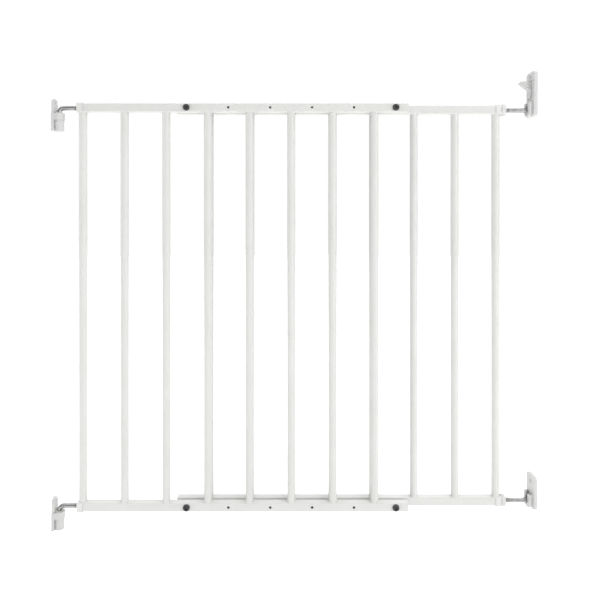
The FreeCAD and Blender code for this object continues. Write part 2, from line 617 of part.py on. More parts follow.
CLAMP_PLACES = [(x, z) for z in LEVEL_Z.values() for x in CLAMP_XS]
for number, (x, z) in enumerate(CLAMP_PLACES, start=1):
    save("clamp_screw_" + str(number), clamp_screw(x, z))
save_group("clamp_spacers", [clamp_spacer(x, z) for x, z in CLAMP_PLACES])
save_group("clamp_nuts", [clamp_nut(x, z) for x, z in CLAMP_PLACES])
save_group("hinge_screw_covers", [hinge_screw_cover(z) for z in LEVEL_Z.values()])

for level, z in LEVEL_Z.items():
    save(level + "_hinge_hook", hinge_hook(z))
    save(level + "_hinge_bracket", hinge_bracket(z))
    save(level + "_hinge_bush", hinge_bush(z))
    save(level + "_spindle", spindle(z))
    save(level + "_spindle_nut", spindle_nut(level))

save("catch_bracket", catch_bracket(LEVEL_Z["upper"]))
save("catch_lever", catch_lever(LEVEL_Z["upper"]))
save("catch_pin", catch_pin(LEVEL_Z["upper"]))
save("catch_spring", catch_spring(LEVEL_Z["upper"]))
save("cup_bracket", cup_on_plate(LEVEL_Z["lower"], CUP_PLATE_T, CUP_PLATE_TOP, CUP_UPPER_HOLE_Z))
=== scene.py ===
"""Extending safety gate: its visible pieces and finishes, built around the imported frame."""
import logging
import math
from dataclasses import dataclass
from enum import Enum
from typing import Iterable, Sequence

import bpy
import numpy as np
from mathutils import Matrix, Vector


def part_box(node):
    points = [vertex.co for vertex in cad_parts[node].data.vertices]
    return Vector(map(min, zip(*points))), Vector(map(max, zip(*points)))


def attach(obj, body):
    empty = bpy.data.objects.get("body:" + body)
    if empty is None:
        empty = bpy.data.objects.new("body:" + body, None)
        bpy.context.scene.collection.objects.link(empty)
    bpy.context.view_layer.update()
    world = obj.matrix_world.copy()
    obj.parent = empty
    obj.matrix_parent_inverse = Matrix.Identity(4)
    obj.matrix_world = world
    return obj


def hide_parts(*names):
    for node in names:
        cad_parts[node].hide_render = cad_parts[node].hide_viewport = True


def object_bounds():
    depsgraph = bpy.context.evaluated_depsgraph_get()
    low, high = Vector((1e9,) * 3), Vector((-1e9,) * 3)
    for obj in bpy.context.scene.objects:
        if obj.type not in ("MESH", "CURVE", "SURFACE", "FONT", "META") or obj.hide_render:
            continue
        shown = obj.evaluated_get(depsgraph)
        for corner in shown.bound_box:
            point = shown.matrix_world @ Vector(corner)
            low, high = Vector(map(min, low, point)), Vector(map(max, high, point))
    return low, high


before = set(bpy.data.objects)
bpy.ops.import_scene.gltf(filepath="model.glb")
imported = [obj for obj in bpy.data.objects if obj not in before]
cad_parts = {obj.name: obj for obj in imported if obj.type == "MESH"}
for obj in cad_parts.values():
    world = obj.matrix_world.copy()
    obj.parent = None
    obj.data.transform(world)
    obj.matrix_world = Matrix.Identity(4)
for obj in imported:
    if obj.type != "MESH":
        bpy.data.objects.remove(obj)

CAD_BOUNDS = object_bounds()
LOG = logging.getLogger("safety_gate")
MM = 0.001
FULL_TURN = 2 * math.pi
SHARP_ANGLE = math.radians(38)
EDGE_STEPS = 6
SCREW_COUNT = 4
FAR_OUT = 1000.0
SEAT_GAP = 0.03
PATTERN_SPAN = (0.3, 0.7)
THREAD_ROOT = 0.15
THREAD_FLANK = 0.65
THREAD_FADE = 1.5
RINGS_PER_PITCH = 8

Colour = tuple[float, float, float]
Tips = tuple[np.ndarray | None, np.ndarray | None]


# ---- shader graphs ----
class ShaderGraph:
    """A material's nodes, with short ways to add them and to join them."""

    def __init__(self, name: str) -> None:
        """Starts a material that holds only its surface shader and its output.

        Args:
            name: The material's name.
        """
        self.material = bpy.data.materials.new(name)
        self.material.use_nodes = True
        self.nodes = self.material.node_tree.nodes
        self.links = self.material.node_tree.links
        self.surface = self.nodes["Principled BSDF"]
        self.place = self.nodes.new("ShaderNodeTexCoord").outputs["Object"]

    def add(self, kind: str, **sockets: float | Sequence[float]) -> bpy.types.Node:
        """Adds a node.

        Args:
            kind: The node's type, without the part that every shader node's type starts with.
            **sockets: Values for its inputs, an underscore standing for a space.

        Returns:
            The node.
        """
        node = self.nodes.new("ShaderNode" + kind)
        for socket, value in sockets.items():
            node.inputs[socket.replace("_", " ")].default_value = value
        return node

    def join(self, source: bpy.types.NodeSocket, target: bpy.types.NodeSocket) -> None:
        """Links one node's output to another's input."""
        self.links.new(source, target)

    def set(self, **sockets: float | Sequence[float]) -> None:
        """Sets values on the surface shader's own inputs."""
        for socket, value in sockets.items():
            self.surface.inputs[socket.replace("_", " ")].default_value = value

    def stretched(self, scale: Sequence[float]) -> bpy.types.NodeSocket:
        """The place on the piece, scaled per axis so that a pattern is drawn out.

        Args:
            scale: The factor along X, Y and Z.

        Returns:
            The socket that carries the scaled place.
        """
        mapping = self.add("Mapping", Scale=scale)
        self.join(self.place, mapping.inputs["Vector"])
        return mapping.outputs["Vector"]

    def grain(self, per_metre: float, detail: float,
              place: bpy.types.NodeSocket) -> bpy.types.NodeSocket:
        """A soft random pattern.

        Args:
            per_metre: How many blotches of it make a metre.
            detail: How many finer layers it has.
            place: The socket with the place that it reads.

        Returns:
            The socket with its strength, from 0 to 1.
        """
        noise = self.add("TexNoise", Scale=per_metre, Detail=detail)
        self.join(place, noise.inputs["Vector"])
        return noise.outputs["Fac"]

    def tinted(self, pattern: bpy.types.NodeSocket, low: Colour, high: Colour) -> None:
        """Colours the surface from one shade to another over a pattern.

        Args:
            pattern: The socket with the pattern.
            low: The shade where the pattern is weak.
            high: The shade where it is strong.
        """
        ramp = self.add("ValToRGB")
        for stop, position, shade in zip(ramp.color_ramp.elements, PATTERN_SPAN, (low, high)):
            stop.position, stop.color = position, (*shade, 1)
        self.join(pattern, ramp.inputs["Fac"])
        self.join(ramp.outputs["Color"], self.surface.inputs["Base Color"])

    def polished(self, pattern: bpy.types.NodeSocket, low: float, high: float) -> None:
        """Varies the surface's roughness over a pattern.

        Args:
            pattern: The socket with the pattern.
            low: The roughness where the pattern is weak.
            high: The roughness where it is strong.
        """
        spread = self.add("MapRange", From_Min=PATTERN_SPAN[0], From_Max=PATTERN_SPAN[1],
                          To_Min=low, To_Max=high)
        self.join(pattern, spread.inputs["Value"])
        self.join(spread.outputs["Result"], self.surface.inputs["Roughness"])

    def raised(self, patterns: Iterable[tuple[bpy.types.NodeSocket, float]]) -> None:
        """Raises the surface a little by each pattern in turn.

        Args:
            patterns: Pairs of a pattern's socket and its height in metres.
        """
        under = None
        for pattern, height in patterns:
            bump = self.add("Bump", Strength=1.0, Distance=height)
            self.join(pattern, bump.inputs["Height"])
            if under is not None:
                self.join(under, bump.inputs["Normal"])
            under = bump.outputs["Normal"]
        self.join(under, self.surface.inputs["Normal"])


# ---- finishes ----
@dataclass(frozen=True)
class Finish:
    """What a surface is made of; the record's slot names it."""

    slot: str

    def material(self) -> bpy.types.Material:
        """Draws the finish as a material."""
        raise NotImplementedError


@dataclass(frozen=True)
class PowderCoat(Finish):
    """Satin powder coat over welded steel, with its faint orange-peel skin."""

    low: Colour = (0.575, 0.575, 0.56)
    high: Colour = (0.605, 0.605, 0.593)
    smooth: float = 0.34
    rough: float = 0.46
    clouds_per_metre: float = 14.0
    wear_per_metre: float = 55.0
    peel_per_metre: float = 480.0
    peel_height: float = 0.000014

    def material(self) -> bpy.types.Material:
        """Cloudy off-white under a clear sheen whose roughness drifts."""
        graph = ShaderGraph(self.slot)
        graph.set(IOR=1.5, Coat_Weight=0.35, Coat_Roughness=0.16)
        graph.tinted(graph.grain(self.clouds_per_metre, 3.0, graph.place), self.low, self.high)
        graph.polished(graph.grain(self.wear_per_metre, 2.0, graph.place), self.smooth, self.rough)
        graph.raised([(graph.grain(self.peel_per_metre, 2.0, graph.place), self.peel_height)])
        return graph.material


@dataclass(frozen=True)
class MouldedPlastic(Finish):
    """Injection-moulded plastic with a spark-eroded skin."""

    low: Colour = (0.50, 0.505, 0.50)
    high: Colour = (0.54, 0.545, 0.54)
    smooth: float = 0.38
    rough: float = 0.5
    clouds_per_metre: float = 30.0
    wear_per_metre: float = 90.0
    skin_per_metre: float = 1300.0
    skin_height: float = 0.000006

    def material(self) -> bpy.types.Material:
        """A near-even colour with flow clouds, and a fine bead-like skin."""
        graph = ShaderGraph(self.slot)
        graph.set(IOR=1.47)
        graph.tinted(graph.grain(self.clouds_per_metre, 4.0, graph.place), self.low, self.high)
        graph.polished(graph.grain(self.wear_per_metre, 3.0, graph.place), self.smooth, self.rough)
        graph.raised([(graph.grain(self.skin_per_metre, 1.0, graph.place), self.skin_height)])
        return graph.material


@dataclass(frozen=True)
class PlatedMetal(Finish):
    """Drawn or turned metal, plated or bare, with marks drawn out along X."""

    low: Colour = (0.30, 0.30, 0.305)
    high: Colour = (0.40, 0.395, 0.39)
    smooth: float = 0.18
    rough: float = 0.3
    draw_out: float = 0.08
    clouds_per_metre: float = 120.0
    marks_per_metre: float = 2600.0
    mark_height: float = 0.000002

    def material(self) -> bpy.types.Material:
        """Metal whose colour and polish change over fine marks and wide clouds."""
        graph = ShaderGraph(self.slot)
        graph.set(Metallic=1.0)
        drawn = graph.stretched((self.draw_out, 1.0, 1.0))
        marks = graph.grain(self.marks_per_metre, 3.0, drawn)
        graph.tinted(graph.grain(self.clouds_per_metre, 3.0, graph.place), self.low, self.high)
        graph.polished(marks, self.smooth, self.rough)
        graph.raised([(marks, self.mark_height)])
        return graph.material


@dataclass(frozen=True)
class BlackOxide(Finish):
    """Oiled black steel, greyer where it is handled."""

    low: Colour = (0.028, 0.029, 0.031)
    high: Colour = (0.06, 0.06, 0.062)
    smooth: float = 0.3
    rough: float = 0.5
    clouds_per_metre: float = 500.0
    wear_per_metre: float = 900.0
    skin_per_metre: float = 2200.0
    skin_height: float = 0.00001

    def material(self) -> bpy.types.Material:
        """Dark, half-metallic and cloudy."""
        graph = ShaderGraph(self.slot)
        graph.set(Metallic=0.55, IOR=1.6)
        graph.tinted(graph.grain(self.clouds_per_metre, 3.0, graph.place), self.low, self.high)
        graph.polished(graph.grain(self.wear_per_metre, 2.0, graph.place), self.smooth, self.rough)
        graph.raised([(graph.grain(self.skin_per_metre, 2.0, graph.place), self.skin_height)])
        return graph.material


FINISHES: dict[str, Finish] = {
    finish.slot: finish for finish in (
        PowderCoat("gate_paint"),
        MouldedPlastic("cap_plastic", low=(0.59, 0.59, 0.578), high=(0.63, 0.63, 0.618)),
        MouldedPlastic("bracket_plastic", low=(0.50, 0.505, 0.50), high=(0.54, 0.545, 0.54)),
        MouldedPlastic("lever_plastic", low=(0.48, 0.485, 0.478), high=(0.52, 0.525, 0.518)),
        MouldedPlastic("nut_plastic", low=(0.56, 0.56, 0.552), high=(0.60, 0.60, 0.592),
                       smooth=0.3, rough=0.42),
        MouldedPlastic("bush_nylon", low=(0.52, 0.515, 0.485), high=(0.56, 0.555, 0.525)),
        MouldedPlastic("spacer_nylon", low=(0.52, 0.52, 0.495), high=(0.56, 0.56, 0.535)),
        PlatedMetal("zinc_rod"),
        PlatedMetal("zinc_hardware", draw_out=1.0, smooth=0.26, rough=0.42),
        PlatedMetal("spring_steel", low=(0.42, 0.43, 0.45), high=(0.56, 0.56, 0.57), draw_out=1.0),
        PlatedMetal("insert_brass", low=(0.62, 0.46, 0.22), high=(0.74, 0.57, 0.30)),
        BlackOxide("screw_black"),
    )
}


class Wardrobe:
    """Every finish's material, drawn once and shared by the pieces that wear it."""

    def __init__(self) -> None:
        """Draws the materials."""
        self.materials = {slot: finish.material() for slot, finish in FINISHES.items()}

    def dress(self, piece: bpy.types.Object, slot: str) -> None:
        """Puts one finish all over a piece.

        Args:
            piece: The piece.
            slot: The finish's slot.
        """
        piece.data.materials.clear()
        piece.data.materials.append(self.materials[slot])

    def fit(self, piece: bpy.types.Object, body: str, slot: str, node: str) -> None:
        """Dresses a piece and puts it in the place of a node, on the body that it moves with.

        Args:
            piece: The piece.
            body: The body's name.
            slot: The finish's slot.
            node: The node that the piece stands for.
        """
        self.dress(piece, slot)
        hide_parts(node)
        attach(piece, body)
        faces = len(piece.data.polygons)
        LOG.info("%s stands for %s on %s, with %d faces", piece.name, node, body, faces)

    def dress_cad(self) -> None:
        """Gives every node of the frame the finish that the record names for it."""
        for slot, nodes in cad_slots().items():
            for name in nodes:
                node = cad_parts[name]
                for holder in node.material_slots:
                    holder.material = self.materials[slot]
                LOG.info("%s wears %s", name, slot)


def cad_slots() -> dict[str, list[str]]:
    """Which nodes of the frame wear each slot, from the materials that came with it.

    Returns:
        Node names by slot.
    """
    found: dict[str, list[str]] = {}
    for name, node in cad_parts.items():
        worn = node.material_slots[0].material.name.split(".")[0]
        found.setdefault(worn, []).append(name)
    return found


# ---- stage ----
@dataclass(frozen=True)
class SoftBox:
    """A rectangular studio light that faces the middle of the gate. Metres and watts."""

    name: str
    place: tuple[float, float, float]
    width: float
    height: float
    watts: float

    def hang(self) -> None:
        """Adds the light to the scene."""
        data = bpy.data.lights.new(self.name, "AREA")
        data.shape, data.energy = "RECTANGLE", self.watts
        data.size, data.size_y = self.width, self.height
        lamp = bpy.data.objects.new(self.name, data)
        bpy.context.scene.collection.objects.link(lamp)
        lamp.location = self.place
        middle = (CAD_BOUNDS[0] + CAD_BOUNDS[1]) / 2
        lamp.rotation_euler = (middle - Vector(self.place)).to_track_quat("-Z", "Y").to_euler()


@dataclass
class Studio:
    """The pale floor, the soft light and the camera.

    Metres, with the lens in millimetres and the camera's pitch in degrees.
    """

    floor_middle: tuple[float, float] = (0.43, 0.0)
    floor_drop: float = 0.05
    floor_radius: float = 9.0
    floor_rings: int = 23
    floor_sides: int = 96
    floor_glow: float = 0.26
    camera_place: tuple[float, float, float] = (0.4355, -0.9954, 0.5027)
    camera_pitch: float = 0.092
    camera_lens: float = 33.81
    camera_shift: float = -0.13
    sky_shades: tuple[tuple[float, float], ...] = (
        (0.0, 0.38), (0.14, 0.44), (0.34, 0.9), (1.0, 1.7),
    )
    front_strength: float = 0.5
    back_strength: float = 1.2
    seen_strength: float = 1.02
    lamps: tuple[SoftBox, ...] = (
        SoftBox("key_light", (2.5, -1.3, 2.6), 1.8, 1.8, 32.0),
        SoftBox("strip_light", (1.95, -1.6, 0.45), 0.3, 1.8, 9.0),
        SoftBox("front_light", (0.43, -3.2, 0.6), 1.4, 1.4, 7.0),
        SoftBox("back_light", (1.6, 2.2, 2.2), 1.6, 1.6, 10.0),
        SoftBox("left_light", (-2.4, -0.6, 1.2), 1.6, 1.6, 17.0),
    )

    def build(self) -> None:
        """Makes the floor, the lights, the world and the camera."""
        self.lay_floor()
        self.light()
        self.aim_camera()

    def lay_floor(self) -> None:
        """A flat disc under the gate: rings of points whose radius grows with its square."""
        low = CAD_BOUNDS[0]
        reach = np.linspace(0, 1, self.floor_rings + 1)[1:, None] ** 2 * self.floor_radius
        turn = np.linspace(0, FULL_TURN, self.floor_sides, endpoint=False)[None, :]
        centre = np.array([*self.floor_middle, low.z - self.floor_drop])
        flat = np.stack([reach * np.cos(turn), reach * np.sin(turn), 0 * reach * turn], axis=-1)
        rings = flat + centre
        floor = skin("studio_floor", rings[::-1], poles=(None, centre))
        graph = ShaderGraph("studio_floor")
        graph.set(Emission_Color=(1, 1, 1, 1), Emission_Strength=self.floor_glow)
        graph.tinted(graph.grain(3.0, 2.0, graph.place), (0.88, 0.88, 0.875), (0.9, 0.9, 0.895))
        graph.polished(graph.grain(20.0, 2.0, graph.place), 0.75, 0.85)
        floor.data.materials.append(graph.material)

    def light(self) -> None:
        """The world and the soft boxes.

        The world is paler toward its top and stronger behind the gate than in front of it, and
        the camera itself sees it as plain white.
        """
        world = bpy.data.worlds.new("studio")
        world.use_nodes = True
        bpy.context.scene.world = world
        nodes, links = world.node_tree.nodes, world.node_tree.links
        ambient = nodes["Background"]
        sky = nodes.new("ShaderNodeTexCoord")
        height = nodes.new("ShaderNodeSeparateXYZ")
        shade = nodes.new("ShaderNodeValToRGB")
        for stop, (position, grey) in zip(self.sky_stops(shade), self.sky_shades):
            stop.position, stop.color = position, (grey, grey, grey, 1)
        links.new(sky.outputs["Generated"], height.inputs["Vector"])
        links.new(height.outputs["Z"], shade.inputs["Fac"])
        links.new(shade.outputs["Color"], ambient.inputs["Color"])
        depth = nodes.new("ShaderNodeMapRange")
        depth.inputs["From Min"].default_value = -1.0
        depth.inputs["From Max"].default_value = 1.0
        depth.inputs["To Min"].default_value = self.front_strength
        depth.inputs["To Max"].default_value = self.back_strength
        links.new(height.outputs["Y"], depth.inputs["Value"])
        links.new(depth.outputs["Result"], ambient.inputs["Strength"])
        seen = nodes.new("ShaderNodeBackground")
        seen.inputs["Color"].default_value = (1.0, 1.0, 1.0, 1)
        seen.inputs["Strength"].default_value = self.seen_strength
        path = nodes.new("ShaderNodeLightPath")
        either = nodes.new("ShaderNodeMixShader")
        links.new(path.outputs["Is Camera Ray"], either.inputs["Fac"])
        links.new(ambient.outputs["Background"], either.inputs[1])
        links.new(seen.outputs["Background"], either.inputs[2])
        links.new(either.outputs["Shader"], nodes["World Output"].inputs["Surface"])
        for lamp in self.lamps:
            lamp.hang()

    def sky_stops(self, shade: bpy.types.Node) -> list[bpy.types.ColorRampElement]:
        """The colour ramp's stops, one for each shade of the sky."""
        stops = shade.color_ramp.elements
        while len(stops) < len(self.sky_shades):
            stops.new(0.5)
        return list(stops)

    def aim_camera(self) -> None:
        """A level camera above the middle of the gate, shifted down onto it."""
        data = bpy.data.cameras.new("camera")
        data.lens = self.camera_lens
        data.shift_y = self.camera_shift
        camera = bpy.data.objects.new("camera", data)
        bpy.context.scene.collection.objects.link(camera)
        camera.location = self.camera_place
        camera.rotation_euler = (math.radians(90 - self.camera_pitch), 0, 0)
        bpy.context.scene.camera = camera
        bpy.context.scene.view_settings.view_transform = "Standard"


# ---- skins from grids of points ----
def skin(name: str, rings: np.ndarray, poles: Tips = (None, None),
         loop: bool = False) -> bpy.types.Object:
    """Joins rings of points into one smooth skin.

    Quad (i, j) joins points j and j + 1 of ring i to the same points of ring i + 1, where j + 1
    is taken round the ring, and i + 1 round the rings when they loop. A pole is one more point,
    joined to its end ring by a fan. Faces point away from the axis when the rings follow one
    another along it and turn right-handed about it.

    Args:
        name: The object's name.
        rings: Points, as ring by point by coordinate.
        poles: The point that closes the first ring, and the one that closes the last.
        loop: Whether the last ring joins the first.

    Returns:
        The object, linked to the scene.
    """
    count, around = rings.shape[:2]
    here = np.arange(count * around).reshape(count, around)
    ahead = np.roll(here, -1, axis=0) if loop else here[1:]
    here_rows = here if loop else here[:-1]
    quads = np.stack([here_rows, np.roll(here_rows, -1, axis=1),
                      np.roll(ahead, -1, axis=1), ahead], axis=-1)
    faces = quads.reshape(-1, 4).tolist()
    points = [rings.reshape(-1, 3)]
    for pole, ring, order in ((poles[0], here[0], -1), (poles[1], here[-1], 1)):
        if pole is not None:
            tip = np.full(around, sum(len(p) for p in points))
            points.append(np.asarray(pole, float)[None, :])
            pair = [ring, np.roll(ring, -1)][::order]
            faces += np.stack([tip, *pair], axis=-1).tolist()
    mesh = bpy.data.meshes.new(name)
    mesh.from_pydata(np.concatenate(points).tolist(), [], faces)
    mesh.shade_smooth()
    mesh.set_sharp_from_angle(angle=SHARP_ANGLE)
    piece = bpy.data.objects.new(name, mesh)
    bpy.context.scene.collection.objects.link(piece)
    return piece


def wrapped(name: str, line: np.ndarray, travel: np.ndarray, across: np.ndarray,
            radii: np.ndarray, shift: np.ndarray | float = 0.0, ends: Tips = (None, None),
            loop: bool = False) -> bpy.types.Object:
    """Wraps a skin round a line.

    Point (i, j) stands at line(i) + radii(i, j) * (cos t * across(i) + sin t * up(i)) + shift(i, j)
    * travel(i), where t is turn j of the ring and up is travel x across.

    Args:
        name: The object's name.
        line: The centre of each ring.
        travel: The unit direction of the line at each ring, or one for all.
        across: A unit direction square to it at each ring, or one for all.
        radii: How far each point is from the line, as ring by point.
        shift: How far each point is moved along the line.
        ends: The points that close the first ring and the last.
        loop: Whether the last ring joins the first.

    Returns:
        The object.
    """
    turn = np.linspace(0, FULL_TURN, radii.shape[1], endpoint=False)[None, :, None]
    travel = np.broadcast_to(travel, line.shape)[:, None, :]
    across = np.broadcast_to(across, line.shape)[:, None, :]
    spokes = np.cos(turn) * across + np.sin(turn) * np.cross(travel, across)
    moved = np.broadcast_to(shift, radii.shape)[..., None] * travel
    return skin(name, line[:, None, :] + radii[..., None] * spokes + moved, ends, loop)


def soft_hexagon(around: int, clocking: float, softness: float) -> np.ndarray:
    """The outline of a hexagon with rounded corners, one from its centre to its flats.

    r(t) = (sum over the flats of max(0, cos(t - t_flat)) ^ n) ^ (-1 / n); a higher n is sharper.

    Args:
        around: How many points it has.
        clocking: The turn at which its first flat stands, in radians.
        softness: The power n.

    Returns:
        The distance of each point from the centre.
    """
    turn = np.linspace(0, FULL_TURN, around, endpoint=False)
    flats = clocking + np.arange(6) * FULL_TURN / 6
    facing = np.maximum(0.0, np.cos(turn[None, :] - flats[:, None]))
    return np.sum(facing ** softness, axis=0) ** (-1 / softness)


def edge_arc(centre: tuple[float, float], radius: float, start: float, stop: float) -> np.ndarray:
    """A rounded edge in a turned profile.

    Row k is centre + radius * (cos a, sin a), with a going evenly from start to stop.

    Args:
        centre: The arc's centre, as distance along the axis and distance from it, in millimetres.
        radius: Its radius in millimetres.
        start: Its first angle in degrees, 180 facing back along the axis and 90 away from it.
        stop: Its last angle.

    Returns:
        Rows of distance along the axis and distance from it.
    """
    angle = np.radians(np.linspace(start, stop, EDGE_STEPS))
    along = centre[0] + radius * np.cos(angle)
    out = centre[1] + radius * np.sin(angle)
    return np.stack([along, out], axis=1)


def thread_valley(distance: np.ndarray, around: int, pitch: float,
                  start: float, end: float) -> np.ndarray:
    """How deep a right-handed thread's valley is at each point, from 0 on a crest to 1.

    The wave w = |2 f - 1|, with f the fraction of (distance / pitch - turn), is 0 in a valley's
    middle and 1 on a crest. It is steepened to flat crests and roots, and fades in and out over
    THREAD_FADE pitches at the thread's two ends.

    Args:
        distance: Each ring's distance along the rod.
        around: How many points a ring has.
        pitch: The thread's pitch, in the same unit.
        start: Where the thread starts.
        end: Where it ends.

    Returns:
        The depth, as ring by point.
    """
    turn = np.linspace(0, 1, around, endpoint=False)[None, :]
    wave = np.abs(2 * np.mod(distance[:, None] / pitch - turn, 1.0) - 1)
    steep = np.clip((wave - THREAD_ROOT) / THREAD_FLANK, 0, 1)
    crest = steep * steep * (3 - 2 * steep)
    inside = np.minimum(distance - start, end - distance) / (THREAD_FADE * pitch)
    return (1 - crest) * np.clip(inside, 0, 1)[:, None]


def thread_stations(start: float, end: float, pitch: float) -> np.ndarray:
    """Ring places close enough together to show a thread, RINGS_PER_PITCH to a pitch."""
    return np.linspace(start, end, int(round((end - start) / pitch * RINGS_PER_PITCH)) + 1)


def centre_and_ends(node: str) -> tuple[np.ndarray, np.ndarray, np.ndarray]:
    """A node's middle and its lowest and highest corner, in metres."""
    low, high = (np.array(corner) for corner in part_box(node))
    return (low + high) / 2, low, high


# ---- the gate's own pieces ----
class Level(Enum):
    """The gate's two working heights."""

    UPPER = "upper"
    LOWER = "lower"


class PanelName(Enum):
    """The gate's two sliding panels."""

    FRONT = "front"
    REAR = "rear"


AXIS_X, AXIS_Y, AXIS_Z = np.eye(3)


@dataclass
class BarRow:
    """One panel's upright bars, coped over the rails' round corners and welded on. Millimetres."""

    panel: PanelName
    count: int = 8
    bar_r: float = 7.0
    rail_half: float = 7.5
    rail_corner_r: float = 2.0
    weld_reach: float = 2.4
    weld_round: float = 0.3
    weld_side: float = 0.6
    cope_fade: float = 3.5
    cope_limit: float = 0.96
    end_rings: int = 9
    end_crowding: float = 1.6
    hollow: float = 3.0
    around: int = 56

    def build(self, wardrobe: Wardrobe) -> None:
        """Makes every bar of the row."""
        for number in range(1, self.count + 1):
            node = f"{self.panel.value}_bar_{number}"
            piece = self.bar(node)
            wardrobe.fit(piece, f"{self.panel.value}_panel", "gate_paint", node)

    def bar(self, node: str) -> bpy.types.Object:
        """A round bar whose ends follow the rails.

        Near an end its radius is bar_r + (weld_round + weld_side * cos(t) ^ 2)
        * (1 - d / weld_reach) ^ 2, with d the distance to the end, so the weld is fullest along
        the rail. An end is drawn out by R - sqrt(R ^ 2 - e ^ 2), where R is the rail's corner
        radius and e how far the point stands beyond the rail's flat, and that fades over
        cope_fade.

        Args:
            node: The bar's node.

        Returns:
            The object.
        """
        middle, low, high = centre_and_ends(node)
        length = (high[2] - low[2]) / MM
        near = np.linspace(0, 1, self.end_rings) ** self.end_crowding * 2 * self.cope_fade
        inner = np.linspace(0, length, self.end_rings)[1:-1]
        distance = np.concatenate([near, inner, (length - near)[::-1]])
        turn = np.linspace(0, FULL_TURN, self.around, endpoint=False)[None, :]
        to_end = np.minimum(distance, length - distance)[:, None]
        weld = np.clip(1 - to_end / self.weld_reach, 0, 1) ** 2
        radii = self.bar_r + (self.weld_round + self.weld_side * np.cos(turn) ** 2) * weld
        beyond = np.clip(np.abs(radii * np.sin(turn)) - (self.rail_half - self.rail_corner_r),
                         0, self.cope_limit * self.rail_corner_r)
        drop = self.rail_corner_r - np.sqrt(self.rail_corner_r ** 2 - beyond ** 2)
        toward_end = np.where(distance[:, None] < length / 2, -1.0, 1.0)
        shift = toward_end * drop * np.clip(1 - to_end / self.cope_fade, 0, 1)
        line = np.array([middle[0], middle[1], low[2]]) + distance[:, None] * MM * AXIS_Z
        ends = (line[0] + self.hollow * MM * AXIS_Z, line[-1] - self.hollow * MM * AXIS_Z)
        return wrapped(node + "_welded", line, AXIS_Z, AXIS_X, radii * MM, shift * MM, ends)


@dataclass
class HingeHook:
    """A plated rod bent down into the hinge socket and threaded into the rail. Millimetres."""

    level: Level
    rod_r: float = 4.0
    root_depth: float = 0.45
    pitch: float = 1.25
    bend_r: float = 8.3
    tip_chamfer: float = 0.8
    thread_from_leg: float = 27.0
    thread_end: float = 1.5
    leg_rings: int = 5
    bend_rings: int = 20
    around: int = 48

    def build(self, wardrobe: Wardrobe) -> None:
        """Makes the hook."""
        node = self.level.value + "_hinge_hook"
        wardrobe.fit(self.rod(node), "front_panel", "zinc_rod", node)

    def rod(self, node: str) -> bpy.types.Object:
        """A rod along a leg, a quarter bend and an arm.

        At distance s the bend's angle is a = (s - leg) / bend_r, held between 0 and a quarter
        turn. The line is tip + min(s, leg) * Z + bend_r * ((1 - cos a) * X + sin a * Z)
        + max(0, s - bent) * X, and its direction is sin a * X + cos a * Z.

        Args:
            node: The hook's node.

        Returns:
            The object.
        """
        _, low, high = centre_and_ends(node)
        low, high = low / MM, high / MM
        leg = (high[2] - low[2]) - self.rod_r - self.bend_r
        bent = leg + self.bend_r * math.pi / 2
        total = bent + (high[0] - low[0]) - self.rod_r - self.bend_r
        thread_start = bent + self.thread_from_leg - self.bend_r
        thread_end = total - self.tip_chamfer - self.thread_end
        distance = np.concatenate([
            [0.0, self.tip_chamfer],
            np.linspace(self.tip_chamfer, leg, self.leg_rings + 1)[1:],
            np.linspace(leg, bent, self.bend_rings + 1)[1:],
            thread_stations(thread_start, thread_end, self.pitch),
            [total - self.tip_chamfer, total],
        ])
        angle = np.clip((distance - leg) / self.bend_r, 0, math.pi / 2)[:, None]
        tip = np.array([low[0] + self.rod_r, (low[1] + high[1]) / 2, low[2]])
        line = (tip + np.minimum(distance, leg)[:, None] * AXIS_Z
                + self.bend_r * ((1 - np.cos(angle)) * AXIS_X + np.sin(angle) * AXIS_Z)
                + np.maximum(distance - bent, 0)[:, None] * AXIS_X)
        travel = np.sin(angle) * AXIS_X + np.cos(angle) * AXIS_Z
        to_end = np.minimum(distance, total - distance)[:, None]
        plain = self.rod_r - np.clip(self.tip_chamfer - to_end, 0, None)
        valley = thread_valley(distance, self.around, self.pitch, thread_start, thread_end)
        radii = plain - self.root_depth * valley
        line = line * MM
        return wrapped(node + "_rod", line, travel, AXIS_Y, radii * MM, ends=(line[0], line[-1]))


